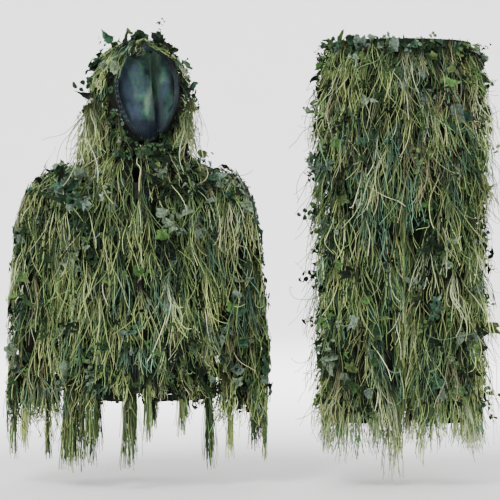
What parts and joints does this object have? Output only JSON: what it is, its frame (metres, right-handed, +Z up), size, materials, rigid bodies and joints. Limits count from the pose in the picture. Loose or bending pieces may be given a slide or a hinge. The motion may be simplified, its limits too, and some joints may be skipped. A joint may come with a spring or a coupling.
{
  "type": "ghillie suit",
  "caption": "Ghillie suit of a hooded zip jacket and separate trousers, in camouflage cloth covered with rows of hanging green yarn bundles and cloth leaves.",
  "frame": {"origin": "centre of the jacket's neck opening, level with the neck seam, where the wearer's neck or a hanger's hook passes", "axes": "+X to the wearer's left and to the trousers beside the jacket, -Y out of the face opening and the front zip, +Z up"},
  "size_m": [1.271, 0.3264, 1.1501],
  "materials": {
    "camo_cloth": "matte",
    "mesh_lining": "matte",
    "yarn": "matte",
    "leaf_cloth": "matte",
    "elastic": "matte",
    "zip_tape": "matte",
    "zip_plastic": "satin",
    "zip_metal": "satin"
  },
  "bodies": {
    "jacket": {"jacket_back_panel": "camo_cloth", "right_front_panel": "camo_cloth", "left_front_panel": "camo_cloth", "collar_band": "camo_cloth", "right_zip_tape": "zip_tape", "left_zip_tape": "zip_tape", "right_zip_teeth": "zip_plastic", "left_zip_teeth": "zip_plastic", "zip_bottom_box": "zip_plastic", "hem_casing": "camo_cloth", "hem_elastic": "elastic", "right_front_yarn_1": "yarn", "right_front_yarn_2": "yarn", "right_front_yarn_3": "yarn", "left_front_yarn_1": "yarn", "left_front_yarn_2": "yarn", "left_front_yarn_3": "yarn", "back_yarn_1": "yarn", "back_yarn_2": "yarn", "back_yarn_3": "yarn", "right_hem_fringe": "yarn", "left_hem_fringe": "yarn", "back_hem_fringe": "yarn"},
    "zip_slider": {"zip_slider": "zip_metal"},
    "zip_pull": {"zip_pull": "zip_metal"},
    "hood": {"hood_shell": "camo_cloth", "hood_lining": "mesh_lining", "hood_rim_casing": "mesh_lining", "hood_rim_cord": "elastic", "hood_right_yarn": "yarn", "hood_left_yarn": "yarn", "hood_back_yarn": "yarn", "crown_leaf": "leaf_cloth"},
    "right_sleeve": {"right_sleeve": "camo_cloth", "right_cuff_casing": "camo_cloth", "right_cuff_elastic": "elastic", "right_sleeve_yarn": "yarn", "right_cuff_fringe": "yarn"},
    "left_sleeve": {"left_sleeve": "camo_cloth", "left_cuff_casing": "camo_cloth", "left_cuff_elastic": "elastic", "left_sleeve_yarn": "yarn", "left_cuff_fringe": "yarn"},
    "trousers": {"front_hip_panel": "camo_cloth", "back_hip_panel": "camo_cloth", "waist_casing": "camo_cloth", "waist_elastic": "elastic", "front_hip_yarn": "yarn", "back_hip_yarn": "yarn"},
    "right_leg": {"right_leg": "camo_cloth", "right_ankle_casing": "camo_cloth", "right_ankle_elastic": "elastic", "right_leg_yarn": "yarn", "right_ankle_fringe": "yarn"},
    "left_leg": {"left_leg": "camo_cloth", "left_ankle_casing": "camo_cloth", "left_ankle_elastic": "elastic", "left_leg_yarn": "yarn", "left_ankle_fringe": "yarn"}
  },
  "joints": [
    {"name": "zip_slide", "type": "slide", "parent": "jacket", "child": "zip_slider", "axis": [0, 0, -1], "range_m": [0, 0.505]},
    {"name": "zip_pull_swing", "type": "hinge", "parent": "zip_slider", "child": "zip_pull", "pos_m": [0, -0.1367, -0.104], "axis": [-1, 0, 0], "range_deg": [0, 165]},
    {"name": "hood_tip", "type": "hinge", "parent": "jacket", "child": "hood", "pos_m": [0, 0.101, 0.013], "axis": [-1, 0, 0], "range_deg": [0, 40]},
    {"name": "right_sleeve_swing", "type": "hinge", "parent": "jacket", "child": "right_sleeve", "pos_m": [-0.146, 0, -0.15], "axis": [-1, 0, 0], "range_deg": [-30, 120]},
    {"name": "left_sleeve_swing", "type": "hinge", "parent": "jacket", "child": "left_sleeve", "pos_m": [0.146, 0, -0.15], "axis": [-1, 0, 0], "range_deg": [-30, 120]},
    {"name": "trousers_apart", "type": "slide", "parent": "jacket", "child": "trousers", "axis": [1, 0, 0], "range_m": [0, 0.5]},
    {"name": "right_leg_swing", "type": "hinge", "parent": "trousers", "child": "right_leg", "pos_m": [0.587, 0, -0.067], "axis": [-1, 0, 0], "range_deg": [-15, 15]},
    {"name": "left_leg_swing", "type": "hinge", "parent": "trousers", "child": "left_leg", "pos_m": [0.793, 0, -0.067], "axis": [-1, 0, 0], "range_deg": [-15, 15]}
  ]
}
